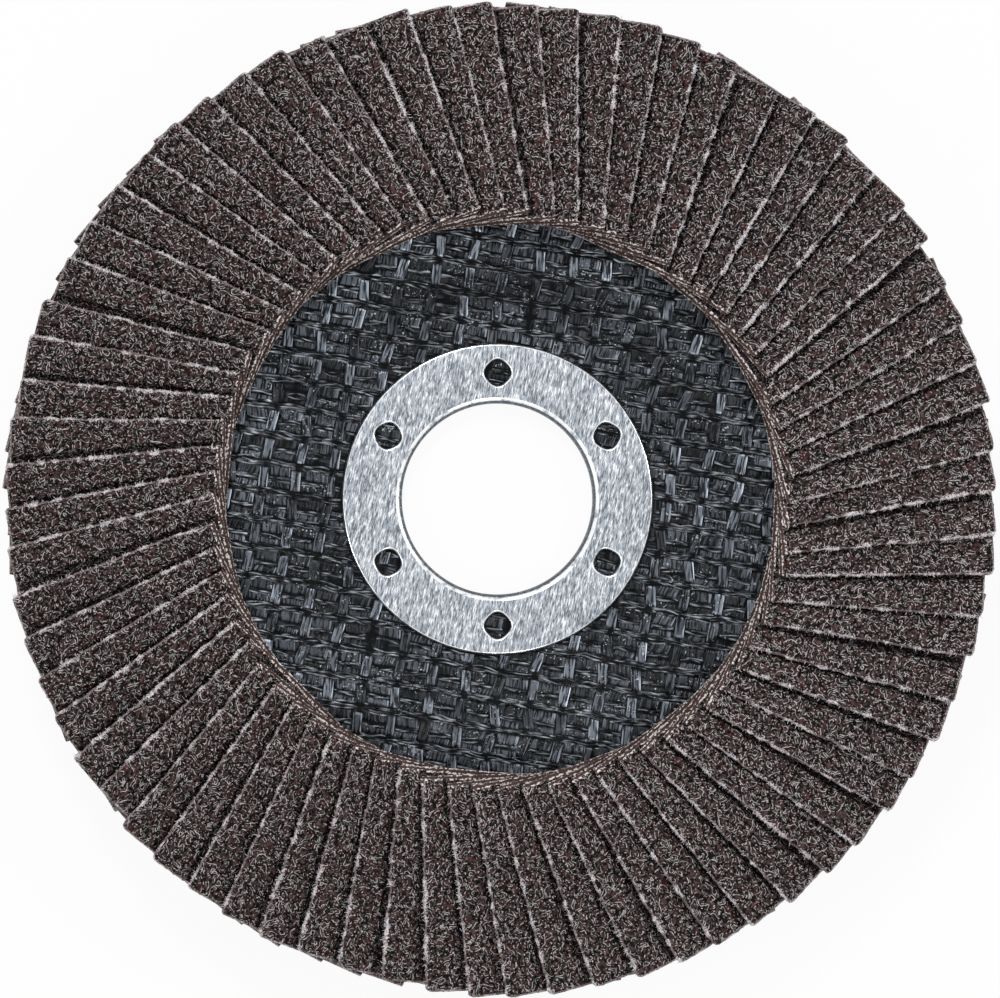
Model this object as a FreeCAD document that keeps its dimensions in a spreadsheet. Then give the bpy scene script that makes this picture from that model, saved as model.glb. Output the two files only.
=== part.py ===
# Flap disc for an angle grinder, 115 mm: a moulded glass-cloth plate with a dished hub, a pressed
# steel ring in its bore, a bed of cured adhesive, and a fan of overlapping abrasive flaps.
# Millimetres and degrees. The disc's axis is Z and the abrasive face looks up, +Z. z = 0 is the
# back face of the hub, which seats on the grinder's flange, and +Y is 12 o'clock.
import FreeCAD, Part
import Sketcher
import math
import os

DOC = FreeCAD.newDocument("flap_disc")
SHEET = DOC.addObject("Spreadsheet::Sheet", "Sizes")

# Driving sizes: the alias, its value, and what it is on the disc
DRIVING = (
    ("disc_diameter", 115, "over the outer corners of the flaps"),
    ("bore", 22.23, "bore of the ring, the standard 7/8 inch arbor hole"),
    ("ring_width", 7, "from the bore to the ring's outer edge"),
    ("ring_sheet", 0.6, "steel sheet that the ring is pressed from"),
    ("ring_bend", 0.9, "outside radius of the bend from flange to collar"),
    ("collar_inset", 0.3, "collar's end above the hub's back face"),
    ("collar_clearance", 0.05, "between the collar and the plate's hole"),
    ("pierced_holes", 6, "eight-sided holes pierced through the flange"),
    ("pierced_setback", 3.6, "from the bore to a pierced hole's centre"),
    ("pierced_width", 2.9, "clear width of a pierced hole, flat to flat"),
    ("pierced_mouth", 0.2, "drawn-in upper edge of a pierced hole"),
    ("plate_thickness", 2.4, "moulded plate, the same all over"),
    ("hub_depth", 3, "hub's front face below the crown"),
    ("hub_land", 3.5, "flat of the hub outside the ring"),
    ("slope_run", 7, "from the hub's flat out to the crown, measured flat"),
    ("crown_land", 3.3, "from the top of the slope to the flaps"),
    ("plate_inset", 4.5, "flaps stand out past the plate's rim"),
    ("weave_margin", 0.5, "between the ring and the weave's relief"),
    ("thread_pitch", 3.3, "from one crosswise thread band to the next"),
    ("thread_band", 0.9, "width of a crosswise thread band"),
    ("thread_lean", -9, "thread bands run down to the right"),
    ("tape_pitch", 3.9, "from one lengthwise tape to the next"),
    ("tape_width", 1.6, "width of a lengthwise tape"),
    ("tape_lean", -10, "tapes lean to the right at the top"),
    ("tape_relief", 0.24, "how far a tape stands up where it crosses over the threads"),
    ("tape_root", 0.4, "how deep the tape's relief is moulded in"),
    ("bed_height", 1.4, "cured adhesive on the plate's crown"),
    ("bed_setback", 1.2, "adhesive starts behind the flaps' inner ends"),
    ("bed_margin", 1, "adhesive stops short of the plate's rim"),
    ("flap_count", 72, "flaps round the disc"),
    ("flap_width", 19, "cut width of a flap"),
    ("flap_cloth", 0.9, "cloth and grain together"),
    ("flap_gap", 0.02, "between neighbours at their inner ends, where they crowd"),
    ("flap_seat", 0.6, "how deep a flap's foot sits in the adhesive"),
)

# The punch has eight sides, and one of them faces the bore
PUNCH_SIDES = 8
PUNCH_CORNERS = [(corner + 0.5) * 360 / PUNCH_SIDES for corner in range(PUNCH_SIDES)]

# Sizes that follow from the driving ones. The tilt is what stacks one cloth on the next within
# one pitch at the flaps' inner ends.
DERIVED = (
    ("ring_radius", "=bore / 2 + ring_width"),
    ("ring_top", "=plate_thickness + ring_sheet"),
    ("bend_facet", "=ring_bend * (1 - cos(45))"),
    ("hole_radius", "=bore / 2 + ring_sheet + collar_clearance"),
    ("pierced_circle", "=bore / 2 + pierced_setback"),
    ("punch_reach", "=pierced_width / 2 / cos(180 / %d)" % PUNCH_SIDES),
    ("hub_radius", "=ring_radius + hub_land"),
    ("crown_radius", "=hub_radius + slope_run"),
    ("crown_height", "=plate_thickness + hub_depth"),
    ("slope_angle", "=atan(hub_depth / slope_run)"),
    ("back_shift", "=plate_thickness * tan(slope_angle / 2)"),
    ("plate_radius", "=disc_diameter / 2 - plate_inset"),
    ("flap_inner", "=crown_radius + crown_land"),
    ("flap_pitch", "=360 / flap_count"),
    ("flap_crowding", "=flap_inner * sin(flap_pitch) - flap_width / 2 * (1 - cos(flap_pitch))"),
    ("flap_tilt", "=asin((flap_cloth + flap_gap) / flap_crowding)"),
    ("flap_reach", "=flap_width / 2 * cos(flap_tilt) + flap_cloth / 2 * sin(flap_tilt)"),
    ("flap_rise", "=flap_width / 2 * sin(flap_tilt) + flap_cloth / 2 * cos(flap_tilt)"),
    ("flap_length", "=sqrt(disc_diameter * disc_diameter / 4 - flap_reach * flap_reach) - flap_inner"),
    ("bed_inner", "=flap_inner + bed_setback"),
    ("bed_outer", "=plate_radius - bed_margin"),
    ("bed_top", "=crown_height + bed_height"),
    ("flap_middle", "=bed_top - flap_seat + flap_rise"),
    ("weave_inner", "=ring_radius + weave_margin"),
    ("weave_outer", "=flap_inner"),
)


def fill_sheet():
    """Write the sizes into the sheet, one row each: name, value, meaning."""
    rows = [(alias, str(driving), meaning) for alias, driving, meaning in DRIVING]
    rows += [(alias, formula, "derived") for alias, formula in DERIVED]
    for number, (alias, content, meaning) in enumerate(rows, 1):
        SHEET.set("A%d" % number, alias)
        SHEET.set("B%d" % number, content)
        SHEET.set("C%d" % number, meaning)
        SHEET.setAlias("B%d" % number, alias)
    DOC.recompute()


def size(expression):
    """The value of an expression of the sheet's names, in millimetres or degrees."""
    found = SHEET.evalExpression(expression)
    return float(getattr(found, "Value", found))


def new_body(label):
    """A body for one moulded, turned or pressed piece."""
    body = DOC.addObject("PartDesign::Body", label)
    body.Label = label
    return body


def new_sketch(body, name, plane_role):
    """A sketch on one of the body's own origin planes."""
    sketch = body.newObject("Sketcher::SketchObject", name)
    plane = next(item for item in body.Origin.OriginFeatures if item.Role == plane_role)
    sketch.AttachmentSupport = [(plane, "")]
    sketch.MapMode = "FlatFace"
    return sketch


def pin(sketch, kind, line, expression):
    """Fix one coordinate of a line's start point to an expression of the sheet."""
    axis = -2 if kind == "DistanceX" else -1
    if expression == "0":
        sketch.addConstraint(Sketcher.Constraint("PointOnObject", line, 1, axis))
        return
    row = sketch.addConstraint(Sketcher.Constraint(kind, -1, 1, line, 1, size(expression)))
    sketch.setExpression("Constraints[%d]" % row, expression)


def outline(sketch, corners):
    """Draw a closed outline of straight lines whose corners are bound to the sheet."""
    spots = [FreeCAD.Vector(size(across), size(up), 0) for across, up in corners]
    for line, spot in enumerate(spots):
        sketch.addGeometry(Part.LineSegment(spot, spots[(line + 1) % len(spots)]), False)
    for line, (across, up) in enumerate(corners):
        sketch.addConstraint(Sketcher.Constraint("Coincident", line, 2, (line + 1) % len(spots), 1))
        pin(sketch, "DistanceX", line, across)
        pin(sketch, "DistanceY", line, up)


def turned(body, name, corners):
    """Revolve an outline of (radius, height) corners about the disc's axis."""
    sketch = new_sketch(body, name + "_section", "XZ_Plane")
    outline(sketch, corners)
    turn = body.newObject("PartDesign::Revolution", name)
    turn.Profile = sketch
    turn.ReferenceAxis = (sketch, ["V_Axis"])
    turn.Angle = 360
    DOC.recompute()
    return turn


def around(body, name, features, count):
    """Repeat features evenly round the disc's axis."""
    pattern = body.newObject("PartDesign::PolarPattern", name)
    pattern.Originals = features
    axis = next(item for item in body.Origin.OriginFeatures if item.Role == "Z_Axis")
    pattern.Axis = (axis, [""])
    pattern.Angle = 360
    pattern.setExpression("Occurrences", count)
    body.Tip = pattern
    DOC.recompute()
    return pattern


def straight_edges(feature, height):
    """Names of the feature's straight edges that lie level at this height."""
    names = []
    for number, edge in enumerate(feature.Shape.Edges, 1):
        level = edge.BoundBox.ZLength < 0.001 and abs(edge.BoundBox.ZMin - height) < 0.001
        if level and edge.Curve.TypeId == "Part::GeomLine":
            names.append("Edge%d" % number)
    return names


def moulded_plate():
    """The dished plate, one thickness all over, with the hole that the collar lines."""
    body = new_body("plate_moulding")
    turned(body, "plate", (
        ("Sizes.hole_radius", "0"),
        ("Sizes.hub_radius + Sizes.back_shift", "0"),
        ("Sizes.crown_radius + Sizes.back_shift", "Sizes.hub_depth"),
        ("Sizes.plate_radius", "Sizes.hub_depth"),
        ("Sizes.plate_radius", "Sizes.crown_height"),
        ("Sizes.crown_radius", "Sizes.crown_height"),
        ("Sizes.hub_radius", "Sizes.plate_thickness"),
        ("Sizes.hole_radius", "Sizes.plate_thickness"),
    ))
    return body


def front_profile():
    """The corners, as (radius, height), of the plate's front from the axis to the rim."""
    return (
        (0, size("Sizes.plate_thickness")),
        (size("Sizes.hub_radius"), size("Sizes.plate_thickness")),
        (size("Sizes.crown_radius"), size("Sizes.crown_height")),
        (size("Sizes.plate_radius"), size("Sizes.crown_height")),
    )


def front_height(radius, profile):
    """Height of the plate's front at a distance from the axis."""
    for (near, low), (far, high) in zip(profile, profile[1:]):
        if radius <= far:
            return low + (radius - near) * (high - low) / (far - near)
    raise ValueError("%s lies outside the plate" % radius)


def tape_float(place, profile):
    """One tape where it crosses over the threads, laid on the dish and bridging its bends."""
    length = size("Sizes.thread_pitch - Sizes.thread_band")
    width, relief, root = size("Sizes.tape_width"), size("Sizes.tape_relief"), size("Sizes.tape_root")
    inside = front_height(place.Length - length / 2, profile)
    outside = front_height(place.Length + length / 2, profile)
    height = (front_height(place.Length, profile) + (inside + outside) / 2) / 2
    pad = Part.makeBox(width, length, root + relief, FreeCAD.Vector(-width / 2, -length / 2, -root))
    lie = FreeCAD.Rotation(FreeCAD.Vector(0, 0, 1), size("Sizes.tape_lean"))
    slope = math.degrees(math.atan((outside - inside) / length))
    climb = FreeCAD.Rotation(FreeCAD.Vector(-place.y, place.x, 0), -slope)
    pad.Placement = FreeCAD.Placement(place + FreeCAD.Vector(0, 0, height), climb * lie)
    return pad


def cloth_step(length, turn):
    """One step across the cloth: so long, and turned so far from the X axis."""
    return FreeCAD.Rotation(FreeCAD.Vector(0, 0, 1), turn).multVec(FreeCAD.Vector(length, 0, 0))


def tape_floats():
    """The glass cloth's relief: float after float along each tape, from the ring to the flaps."""
    inner, outer = size("Sizes.weave_inner"), size("Sizes.weave_outer")
    next_tape = cloth_step(size("Sizes.tape_pitch"), size("Sizes.thread_lean"))
    next_float = cloth_step(size("Sizes.thread_pitch"), 90 + size("Sizes.tape_lean"))
    reach = math.ceil(2 * outer / min(next_tape.Length, next_float.Length))
    shortest = size("Sizes.tape_width / 4")
    profile = front_profile()
    pads = []
    for tape in range(-reach, reach):
        for crossing in range(-reach, reach):
            place = next_tape * (tape + 0.5) + next_float * (crossing + 0.5)
            if inner + shortest < place.Length < outer - shortest:
                pads.append(tape_float(place, profile))
    top = 2 * size("Sizes.crown_height")
    band = Part.makeCylinder(outer, top).cut(Part.makeCylinder(inner, top))
    floats = DOC.addObject("Part::Feature", "tape_floats")
    floats.Shape = Part.makeCompound(pads).common(band)
    return floats


def backing_plate():
    """The moulding with the glass cloth's weave standing on its visible front."""
    plate = DOC.addObject("Part::MultiFuse", "backing_plate")
    plate.Shapes = [moulded_plate(), tape_floats()]
    return plate


def centre_ring():
    """The pressed ring: a flange on the hub, a collar through the bore, pierced holes."""
    body = new_body("centre_ring")
    collar = "Sizes.bore / 2 + Sizes.ring_sheet"
    ring = turned(body, "ring", (
        ("Sizes.bore / 2", "Sizes.collar_inset"),
        (collar, "Sizes.collar_inset"),
        (collar, "Sizes.plate_thickness"),
        ("Sizes.ring_radius", "Sizes.plate_thickness"),
        ("Sizes.ring_radius", "Sizes.ring_top"),
        ("Sizes.bore / 2 + Sizes.ring_bend", "Sizes.ring_top"),
        ("Sizes.bore / 2 + Sizes.bend_facet", "Sizes.ring_top - Sizes.bend_facet"),
        ("Sizes.bore / 2", "Sizes.ring_top - Sizes.ring_bend"),
    ))
    punch = new_sketch(body, "punch", "XY_Plane")
    punch.setExpression(".AttachmentOffset.Base.z", "Sizes.ring_top")
    outline(punch, [
        ("Sizes.punch_reach * cos(%s)" % turn, "Sizes.pierced_circle + Sizes.punch_reach * sin(%s)" % turn)
        for turn in PUNCH_CORNERS
    ])
    hole = body.newObject("PartDesign::Pocket", "hole")
    hole.Profile = punch
    hole.setExpression("Length", "Sizes.ring_sheet")
    holes = around(body, "pierced", [hole], "Sizes.pierced_holes")
    mouths = body.newObject("PartDesign::Chamfer", "drawn_mouths")
    mouths.Base = (holes, straight_edges(holes, size("Sizes.ring_top")))
    mouths.setExpression("Size", "Sizes.pierced_mouth")
    return body


def flap(number):
    """One rectangle of abrasive cloth, leaning on its neighbour, its clockwise edge high."""
    box = DOC.addObject("Part::Box", "flap_%02d" % (number + 1))
    box.setExpression("Length", "Sizes.flap_length")
    box.setExpression("Width", "Sizes.flap_width")
    box.setExpression("Height", "Sizes.flap_cloth")
    box.setExpression("Placement", (
        "placement(vector(0; 0; 0); rotation(vector(0; 0; 1); 90 + %d * Sizes.flap_pitch))"
        " * placement(vector(Sizes.flap_inner; 0; Sizes.flap_middle);"
        " rotation(vector(1; 0; 0); -Sizes.flap_tilt))"
        " * placement(vector(0; -Sizes.flap_width / 2; -Sizes.flap_cloth / 2);"
        " rotation(vector(0; 0; 1); 0))" % number))
    return box


def flap_fan():
    """All the flaps, two neighbours to a part."""
    flaps = [flap(number) for number in range(int(size("Sizes.flap_count")))]
    pairs = []
    for first in range(0, len(flaps), 2):
        pair = DOC.addObject("Part::Compound", "flap_pair_%02d" % (first // 2 + 1))
        pair.Links = flaps[first:first + 2]
        pairs.append(pair)
    return pairs


def bed_prism(name, reach, foot, height):
    """An upright prism with one flat side to each flap."""
    prism = DOC.addObject("Part::Prism", name)
    prism.setExpression("Polygon", "Sizes.flap_count")
    prism.setExpression("Circumradius", reach)
    prism.setExpression("Height", height)
    prism.setExpression("Placement.Base.z", foot)
    return prism


def adhesive_bed(pairs):
    """The cured adhesive on the crown, with a groove where each flap's foot is bedded."""
    ring = DOC.addObject("Part::Cut", "adhesive_ring")
    ring.Base = bed_prism("bed_outside", "Sizes.bed_outer", "Sizes.crown_height", "Sizes.bed_height")
    ring.Tool = bed_prism("bed_inside", "Sizes.bed_inner", "0", "2 * Sizes.bed_top")
    feet = DOC.addObject("Part::Compound", "flap_feet")
    feet.Links = pairs
    bed = DOC.addObject("Part::Cut", "adhesive_bed")
    bed.Base = ring
    bed.Tool = feet
    return bed


def export(pieces):
    """Stop on any failed object, then write one file for each piece."""
    DOC.recompute()
    for item in DOC.Objects:
        if "Invalid" in item.State or "Error" in item.State:
            raise RuntimeError("%s failed: %s" % (item.Name, item.State))
    for piece in pieces:
        if piece.Shape.isNull() or not piece.Shape.isValid():
            raise RuntimeError("%s has no valid shape" % piece.Label)
    os.makedirs("parts", exist_ok=True)
    for piece in pieces:
        piece.Shape.exportStep("parts/%s.step" % piece.Label)


fill_sheet()
flap_pairs = flap_fan()
export([backing_plate(), centre_ring(), adhesive_bed(flap_pairs)] + flap_pairs)
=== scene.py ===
"""Dresses the flap disc: abrasive flaps, woven plate, brushed ring, adhesive and a white stage.

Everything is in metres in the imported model's own frame: the disc's axis is Z, the abrasive face
looks up, and +Y is 12 o'clock. Sizes that a user would change are in millimetres in the panel.
"""
import math
import random

import bmesh
import bpy
from bpy.props import FloatProperty, IntProperty, PointerProperty, StringProperty
from mathutils import Matrix, Vector, noise


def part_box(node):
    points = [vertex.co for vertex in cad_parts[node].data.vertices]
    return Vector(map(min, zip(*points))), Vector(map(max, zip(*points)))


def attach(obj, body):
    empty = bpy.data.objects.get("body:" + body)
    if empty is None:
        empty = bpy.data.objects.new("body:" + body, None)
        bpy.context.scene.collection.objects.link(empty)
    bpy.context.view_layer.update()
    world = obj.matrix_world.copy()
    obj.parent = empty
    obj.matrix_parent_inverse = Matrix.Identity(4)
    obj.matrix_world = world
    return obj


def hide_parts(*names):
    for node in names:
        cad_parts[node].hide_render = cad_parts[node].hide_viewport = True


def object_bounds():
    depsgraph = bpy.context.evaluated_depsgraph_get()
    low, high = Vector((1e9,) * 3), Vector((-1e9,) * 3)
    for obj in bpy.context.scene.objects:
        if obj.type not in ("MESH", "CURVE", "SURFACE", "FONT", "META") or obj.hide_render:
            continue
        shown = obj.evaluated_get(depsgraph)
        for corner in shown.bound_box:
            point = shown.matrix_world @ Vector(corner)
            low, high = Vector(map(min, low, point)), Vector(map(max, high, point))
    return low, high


bl_info = {
    "name": "Flap disc",
    "version": (1, 0, 0),
    "blender": (4, 5, 0),
    "location": "View3D > Sidebar > Flap disc",
    "description": "Grain, frayed cloth, woven glass tapes and brushed steel for a flap disc",
    "category": "Object",
}

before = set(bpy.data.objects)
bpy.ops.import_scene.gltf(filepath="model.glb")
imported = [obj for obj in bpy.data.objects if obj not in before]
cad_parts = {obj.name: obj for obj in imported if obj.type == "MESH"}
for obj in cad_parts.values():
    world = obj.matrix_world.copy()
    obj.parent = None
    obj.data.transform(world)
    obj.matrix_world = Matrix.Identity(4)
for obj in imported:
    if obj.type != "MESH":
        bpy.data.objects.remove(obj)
CAD_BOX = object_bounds()
MM = 0.001
PAIRS = sorted(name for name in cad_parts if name.startswith("flap_pair_"))
RING_LOW, RING_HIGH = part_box("centre_ring")
PLATE_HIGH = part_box("backing_plate")[1]
UP = Vector((0, 0, 1))


def linear(code):
    """The linear colour, with alpha, of an sRGB hex code."""
    shares = [int(code[start:start + 2], 16) / 255 for start in (1, 3, 5)]
    return [(c / 12.92 if c <= 0.04045 else ((c + 0.055) / 1.055) ** 2.4) for c in shares] + [1]


def blend(low, high, share):
    """The value that lies a share of the way from low to high."""
    return low + (high - low) * share


def eased(share):
    """A smooth S from 0 to 1."""
    share = min(max(share, 0), 1)
    return share * share * (3 - 2 * share)


def wander(*place):
    """Smooth noise from about -1 to 1 at three numbers."""
    return noise.noise(Vector(place))


def give(tree, node, inputs):
    """Set a node's inputs, each to a number, an sRGB hex code or another node's output."""
    for name, value in inputs.items():
        if isinstance(value, bpy.types.NodeSocket):
            tree.links.new(value, node.inputs[name])
        else:
            node.inputs[name].default_value = linear(value) if isinstance(value, str) else value


def add(tree, kind, *values, out=0, **settings):
    """Add a node and return one of its outputs. The values go to its inputs, in order or by name in
    a dict, and the settings are its own."""
    node = tree.nodes.new("ShaderNode" + kind)
    for name, value in settings.items():
        setattr(node, name, value)
    named = values and isinstance(values[0], dict)
    give(tree, node, values[0] if named else dict(enumerate(values)))
    return node.outputs[out]


# Settings that many nodes share: a range with smooth ends, and a mix of two colours
SMOOTH = {"interpolation_type": "SMOOTHSTEP"}
COLOURS = {"data_type": "RGBA", "out": 2}


def new_material(name):
    """A material with its principled shader and its tree."""
    material = bpy.data.materials.new(name)
    material.use_nodes = True
    return material, material.node_tree, material.node_tree.nodes["Principled BSDF"]


def object_coords(tree, stretch=(1, 1, 1), turn=0):
    """Object coordinates in millimetres, turned about Z and then stretched."""
    coords = add(tree, "TexCoord", out="Object")
    turned = add(tree, "Mapping", {"Vector": coords, "Rotation": (0, 0, -turn)})
    return add(tree, "Mapping", {"Vector": turned, "Scale": [share / MM for share in stretch]})


def seen_directly(tree):
    """1 where the camera, a reflection or a clear piece looks, and 0 for the light that is cast."""
    seen = add(tree, "LightPath").node.outputs
    beyond = add(tree, "Math", seen["Is Glossy Ray"], seen["Is Transmission Ray"], operation="MAXIMUM")
    return add(tree, "Math", seen["Is Camera Ray"], beyond, operation="MAXIMUM")


# The grain's glints follow the contour lines of a winding noise: this many to its whole range, with
# its slope measured this far aside in mm, so that every glint has the same width.
CONTOURS = 7
ASIDE = 0.04


def contour_distance(tree, place, width):
    """How far a point is, in mm, from the nearest contour line of a noise of that width."""
    winding = []
    for aside in ((0, 0, 0), (ASIDE, 0, 0), (0, ASIDE, 0)):
        moved = add(tree, "VectorMath", place, aside, operation="ADD")
        winding.append(add(tree, "TexNoise", {"Vector": moved, "Scale": 1 / width, "Detail": 0.8,
                                              "Distortion": 0.5}))
    squares = []
    for other in winding[1:]:
        rise = add(tree, "Math", other, winding[0], operation="SUBTRACT")
        squares.append(add(tree, "Math", rise, 2, operation="POWER"))
    square = add(tree, "Math", *squares, operation="ADD")
    slope = add(tree, "Math", square, operation="SQRT")
    level = add(tree, "Math", winding[0], CONTOURS, operation="MULTIPLY")
    level = add(tree, "Math", level, operation="FRACT")
    away = add(tree, "Math", level, 0.5, operation="SUBTRACT")
    away = add(tree, "Math", away, operation="ABSOLUTE")
    away = add(tree, "Math", away, ASIDE / CONTOURS, operation="MULTIPLY")
    return add(tree, "Math", away, slope, operation="DIVIDE")


def abrasive_material(look):
    """Brown aluminium oxide grain bonded in phenolic resin: black pits round the grains, grey
    winding glints painted on their crests as highlights, and a red-brown cast. Painted shade darkens
    the pits beside the glints, and the colour is painted darker where the grain is low and lighter
    where it is high. At the cut edge the cloth frays pale. The glints and the frayed threads are
    drawn coarser than real, so that they show."""
    material, tree, shader = new_material("brown aluminium oxide grain")
    place = add(tree, "Attribute", attribute_name="cloth", out="Vector")
    place = add(tree, "Mapping", {"Vector": place, "Scale": (1, 1, 0)})
    height = add(tree, "Attribute", attribute_name="grain", out="Fac")
    fray = add(tree, "Attribute", attribute_name="fray", out="Fac")
    away = contour_distance(tree, place, look.grit * 3.3)
    # The glints, painted highlights: lines broken by gaps, and specks
    gaps = add(tree, "TexNoise", {"Vector": place, "Scale": 1 / (look.grit * 1.5), "Detail": 1})
    gaps = add(tree, "MapRange", gaps, 0.43, 0.55, **SMOOTH)
    arcs = add(tree, "MapRange", away, look.glint * 1.3, look.glint * 0.6, **SMOOTH)
    arcs = add(tree, "Math", arcs, gaps, operation="MULTIPLY")
    specks = add(tree, "TexNoise", {"Vector": place, "Scale": 1 / (look.grit * 0.55), "Detail": 0})
    specks = add(tree, "MapRange", specks, 0.67, 0.74, **SMOOTH)
    glints = add(tree, "Math", arcs, specks, operation="MAXIMUM")
    # The body of the grain, from its pits to its sides, with russet patches
    earth = add(tree, "TexNoise", {"Vector": place, "Scale": 1 / (look.grit * 1.1), "Detail": 1,
                                   "Roughness": 0.6})
    earth = add(tree, "MapRange", earth, 0.38, 0.58, **SMOOTH)
    body = add(tree, "Mix", {0: earth, 6: look.pit, 7: look.body}, **COLOURS)
    russet = add(tree, "TexNoise", {"Vector": place, "Scale": 1 / (look.grit * 4), "Detail": 2,
                                    "Roughness": 0.7})
    russet = add(tree, "MapRange", russet, 0.5, 0.66, 0, 0.5, **SMOOTH)
    body = add(tree, "Mix", {0: russet, 6: body, 7: look.russet}, **COLOURS)
    # Painted shade: beside each glint line the colour falls to the pit colour
    flank = add(tree, "MapRange", away, look.glint * 1.5, look.glint * 2.6, **SMOOTH)
    colour = add(tree, "Mix", {0: flank, 6: look.pit, 7: body}, **COLOURS)
    # Painted highlights: the crest colour on the glints
    colour = add(tree, "Mix", {0: glints, 6: colour, 7: look.crest}, **COLOURS)
    # Painted shade and light: darker where the grain is low and lighter where it is high
    shade = add(tree, "MapRange", height, 0.0, 0.7, 0.35, 1.15, **SMOOTH)
    colour = add(tree, "Mix", {0: 1.0, 6: colour, 7: shade}, blend_type="MULTIPLY", **COLOURS)
    # The frayed threads at the cut edge
    fuzz = add(tree, "TexNoise", {"Vector": place, "Scale": 1 / 0.2, "Detail": 1, "Roughness": 0.6})
    fuzz = add(tree, "Math", fuzz, 1.7, operation="MULTIPLY")
    fuzz = add(tree, "Math", fray, fuzz, operation="ADD")
    pale = add(tree, "MapRange", fuzz, 1.4, 1.8, **SMOOTH)
    threads = add(tree, "Mix", {0: pale, 6: look.cloth, 7: look.fibre}, **COLOURS)
    frayed = add(tree, "MapRange", fuzz, 1.30, 1.45, **SMOOTH)
    colour = add(tree, "Mix", {0: frayed, 6: colour, 7: threads}, **COLOURS)
    relief = add(tree, "MapRange", away, look.glint * 3, 0, **SMOOTH)
    normal = add(tree, "Bump", {"Height": relief, "Distance": look.grit * 0.3 * MM})
    give(tree, shader, {"Base Color": colour, "Normal": normal,
                        "Roughness": 0.5, "Specular IOR Level": 0.1})
    return material


def cut_cloth_material(look):
    """Cotton and polyester cloth where it was cut: pale frayed thread ends, stained by resin."""
    material, tree, shader = new_material("cut cloth with resin")
    coords = object_coords(tree)
    inset = add(tree, "Attribute", attribute_name="inset", out="Fac")
    fray = add(tree, "Attribute", attribute_name="fray", out="Fac")
    beads = add(tree, "TexNoise", {"Vector": coords, "Scale": 1 / (look.thread * 0.75), "Detail": 1})
    beads = add(tree, "MapRange", beads, 0.40, 0.54, **SMOOTH)
    zigzag = add(tree, "TexNoise", {"Vector": coords, "Scale": 1 / look.thread, "Detail": 1})
    zigzag = add(tree, "Math", zigzag, look.thread, operation="MULTIPLY")
    turns = add(tree, "Math", inset, zigzag, operation="ADD")
    turns = add(tree, "Math", turns, math.tau / (look.thread * 1.3), operation="MULTIPLY")
    threads = add(tree, "Math", turns, operation="SINE")
    threads = add(tree, "MapRange", threads, -0.3, 0.5, **SMOOTH)
    threads = add(tree, "Math", threads, beads, operation="MULTIPLY")
    inner = add(tree, "MapRange", inset, 2.0, 1.0, **SMOOTH)
    pale = add(tree, "Mix", {0: fray, 6: look.cloth, 7: look.fibre}, **COLOURS)
    torn = add(tree, "MapRange", fray, 0.0, 0.8, 0.4, 1, **SMOOTH)
    beads = add(tree, "Math", 0.4, beads, operation="ADD")
    torn = add(tree, "Math", torn, beads, operation="MULTIPLY")
    edge = add(tree, "Mix", {0: torn, 6: look.resin, 7: pale}, **COLOURS)
    end = add(tree, "Mix", {0: threads, 6: look.resin, 7: look.stained}, **COLOURS)
    colour = add(tree, "Mix", {0: inner, 6: edge, 7: end}, **COLOURS)
    normal = add(tree, "Bump", {"Height": threads, "Distance": 0.12 * MM})
    give(tree, shader, {"Base Color": colour, "Normal": normal,
                        "Roughness": 0.85, "Specular IOR Level": 0.2})
    return material


def cloth_back_material(look):
    """Resin-sized cotton twill, the back of the abrasive cloth: ochre, fine ribs."""
    material, tree, shader = new_material("resin-sized cotton twill")
    coords = object_coords(tree)
    ribs = add(tree, "TexWave", {"Vector": coords, "Scale": 0.32 / look.thread, "Distortion": 1.5,
                                 "Detail": 1.0}, bands_direction="DIAGONAL", out="Fac")
    stain = add(tree, "TexNoise", {"Vector": coords, "Scale": 1 / 3.0, "Detail": 3})
    stain = add(tree, "MapRange", stain, 0.4, 0.7, **SMOOTH)
    colour = add(tree, "Mix", {0: ribs, 6: look.resin, 7: look.twill}, **COLOURS)
    colour = add(tree, "Mix", {0: stain, 6: colour, 7: look.resin}, **COLOURS)
    normal = add(tree, "Bump", {"Height": ribs, "Distance": 0.05 * MM})
    give(tree, shader, {"Base Color": colour, "Normal": normal, "Roughness": 0.8})
    return material


def fibre_material(look):
    """Loose cotton fibres at the cut edges: nearly white and matt."""
    material, tree, shader = new_material("loose cotton fibre")
    shade = add(tree, "TexNoise", {"Vector": object_coords(tree), "Scale": 1 / 1.2, "Detail": 1})
    colour = add(tree, "Mix", {0: shade, 6: look.cloth, 7: look.fibre}, **COLOURS)
    give(tree, shader, {"Base Color": colour, "Roughness": 0.9})
    return material


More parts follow.
